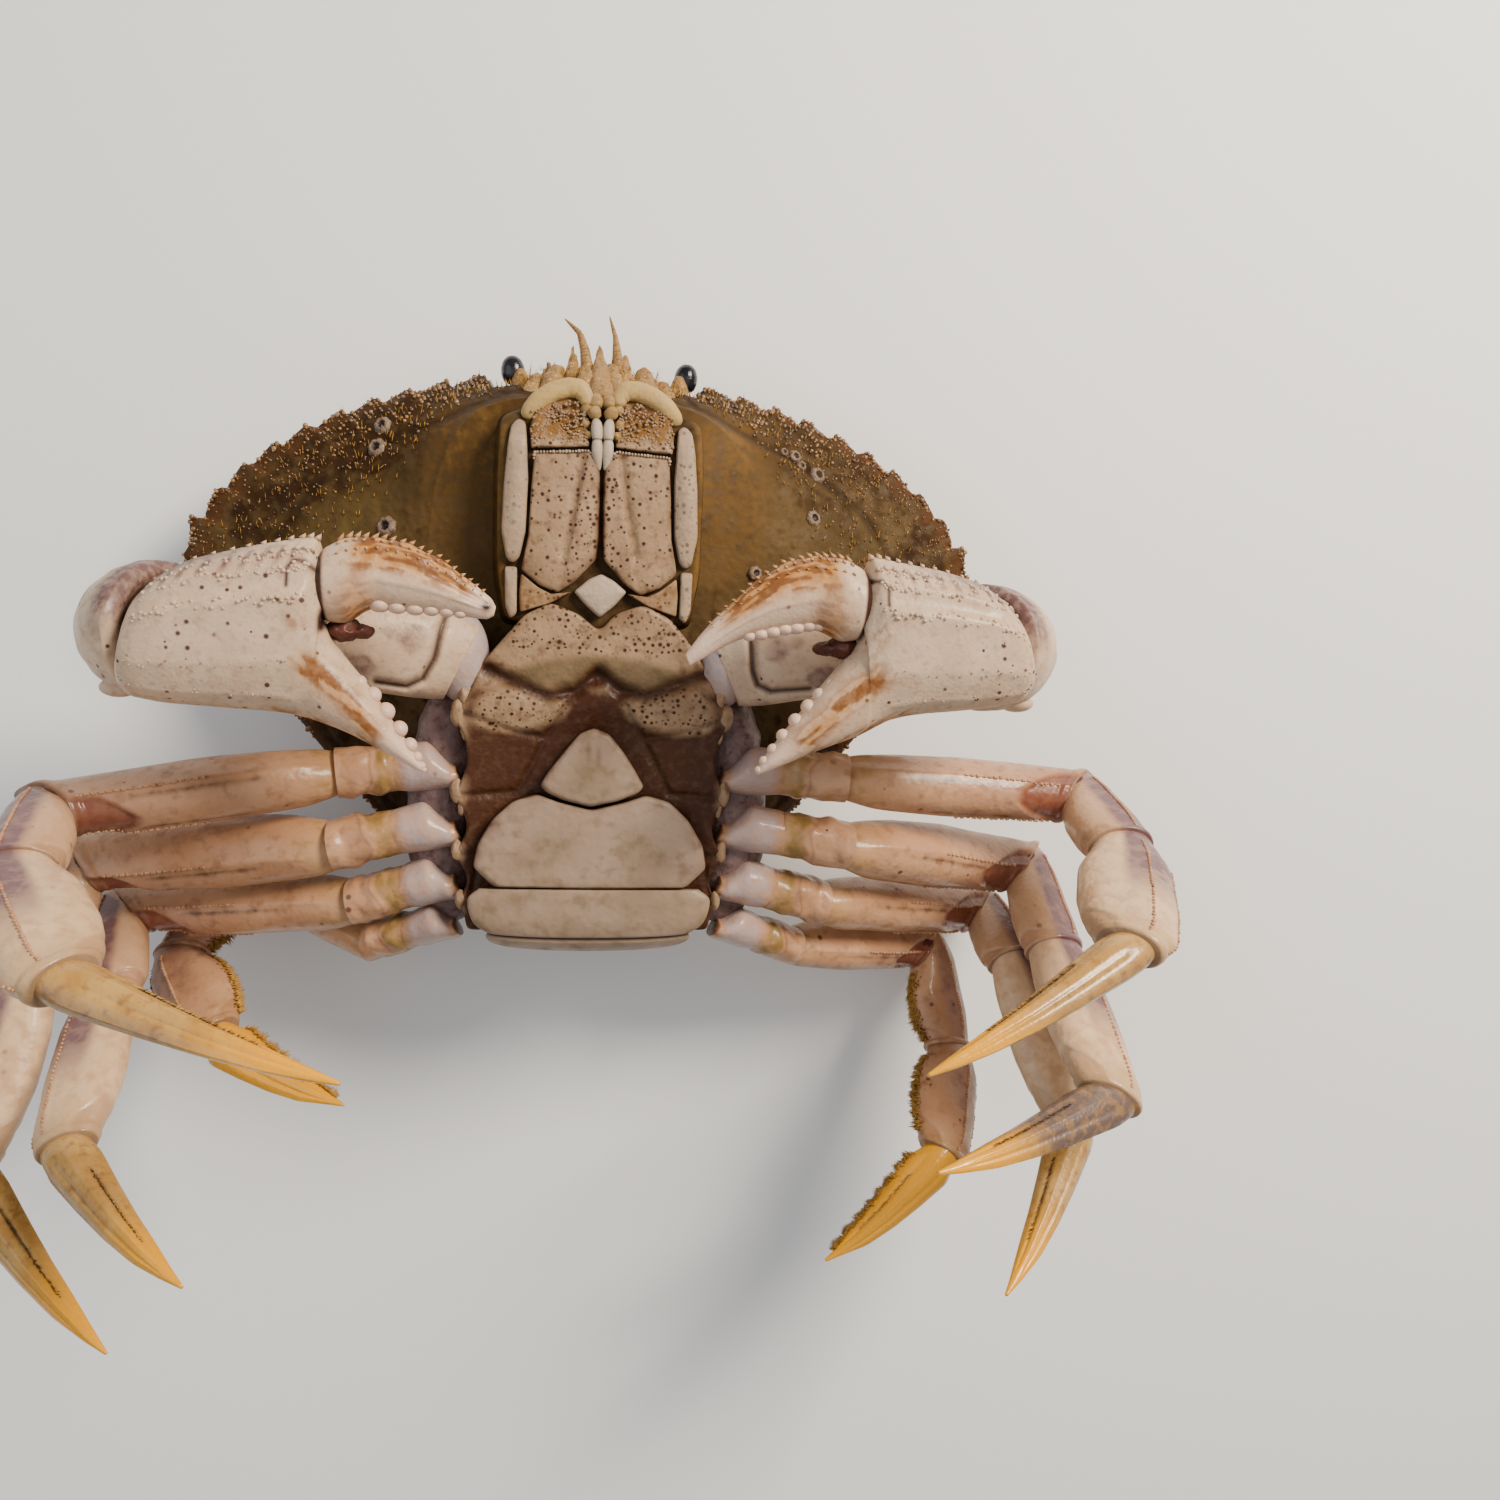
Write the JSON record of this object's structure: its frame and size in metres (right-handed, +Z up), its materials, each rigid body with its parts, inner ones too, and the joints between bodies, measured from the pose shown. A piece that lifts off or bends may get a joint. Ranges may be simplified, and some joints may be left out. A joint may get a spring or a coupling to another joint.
{
  "type": "dungeness crab",
  "caption": "Dungeness crab, a still life-size model lying on its back, with its legs and claws folded over its underside.",
  "frame": {"origin": "centre of the small flat on the back shell that the crab rests on", "axes": "+Z up, the way the underside faces; +Y towards the head; +X towards the crab's left side"},
  "size_m": [0.2165, 0.1808, 0.1116],
  "materials": {
    "shell_brown": "brown and olive shell with small granules, wet",
    "underside_cream": "cream shell with brown specks, wet",
    "claw_white": "cream-white shell, orange-brown on the fingers",
    "leg_cream": "cream to pink shell, purple along the upper edge",
    "dactyl_gold": "golden horn, amber at the tip",
    "eye_black": "glossy black",
    "feeler_tan": "tan"
  },
  "bodies": {
    "root": {"abdomen_front": "underside_cream", "abdomen_rear": "underside_cream", "antenna_left": "feeler_tan", "antenna_right": "feeler_tan", "carapace": "shell_brown", "claw_arm_left": "claw_white", "claw_arm_right": "claw_white", "claw_finger_left": "claw_white", "claw_finger_right": "claw_white", "claw_palm_left": "claw_white", "claw_palm_right": "claw_white", "claw_wrist_left": "claw_white", "claw_wrist_right": "claw_white", "eye_left": "eye_black", "eye_right": "eye_black", "leg1_base_left": "leg_cream", "leg1_base_right": "leg_cream", "leg1_carpus_left": "leg_cream", "leg1_carpus_right": "leg_cream", "leg1_dactyl_left": "dactyl_gold", "leg1_dactyl_right": "dactyl_gold", "leg1_merus_left": "leg_cream", "leg1_merus_right": "leg_cream", "leg1_propodus_left": "leg_cream", "leg1_propodus_right": "leg_cream", "leg2_base_left": "leg_cream", "leg2_base_right": "leg_cream", "leg2_carpus_left": "leg_cream", "leg2_carpus_right": "leg_cream", "leg2_dactyl_left": "dactyl_gold", "leg2_dactyl_right": "dactyl_gold", "leg2_merus_left": "leg_cream", "leg2_merus_right": "leg_cream", "leg2_propodus_left": "leg_cream", "leg2_propodus_right": "leg_cream", "leg3_base_left": "leg_cream", "leg3_base_right": "leg_cream", "leg3_carpus_left": "leg_cream", "leg3_carpus_right": "leg_cream", "leg3_dactyl_left": "dactyl_gold", "leg3_dactyl_right": "dactyl_gold", "leg3_merus_left": "leg_cream", "leg3_merus_right": "leg_cream", "leg3_propodus_left": "leg_cream", "leg3_propodus_right": "leg_cream", "leg4_base_left": "leg_cream", "leg4_base_right": "leg_cream", "leg4_carpus_left": "leg_cream", "leg4_carpus_right": "leg_cream", "leg4_dactyl_left": "dactyl_gold", "leg4_dactyl_right": "dactyl_gold", "leg4_merus_left": "leg_cream", "leg4_merus_right": "leg_cream", "leg4_propodus_left": "leg_cream", "leg4_propodus_right": "leg_cream", "maxilliped_left": "underside_cream", "maxilliped_right": "underside_cream", "sternum": "underside_cream", "telson": "underside_cream"}
  },
  "joints": []
}
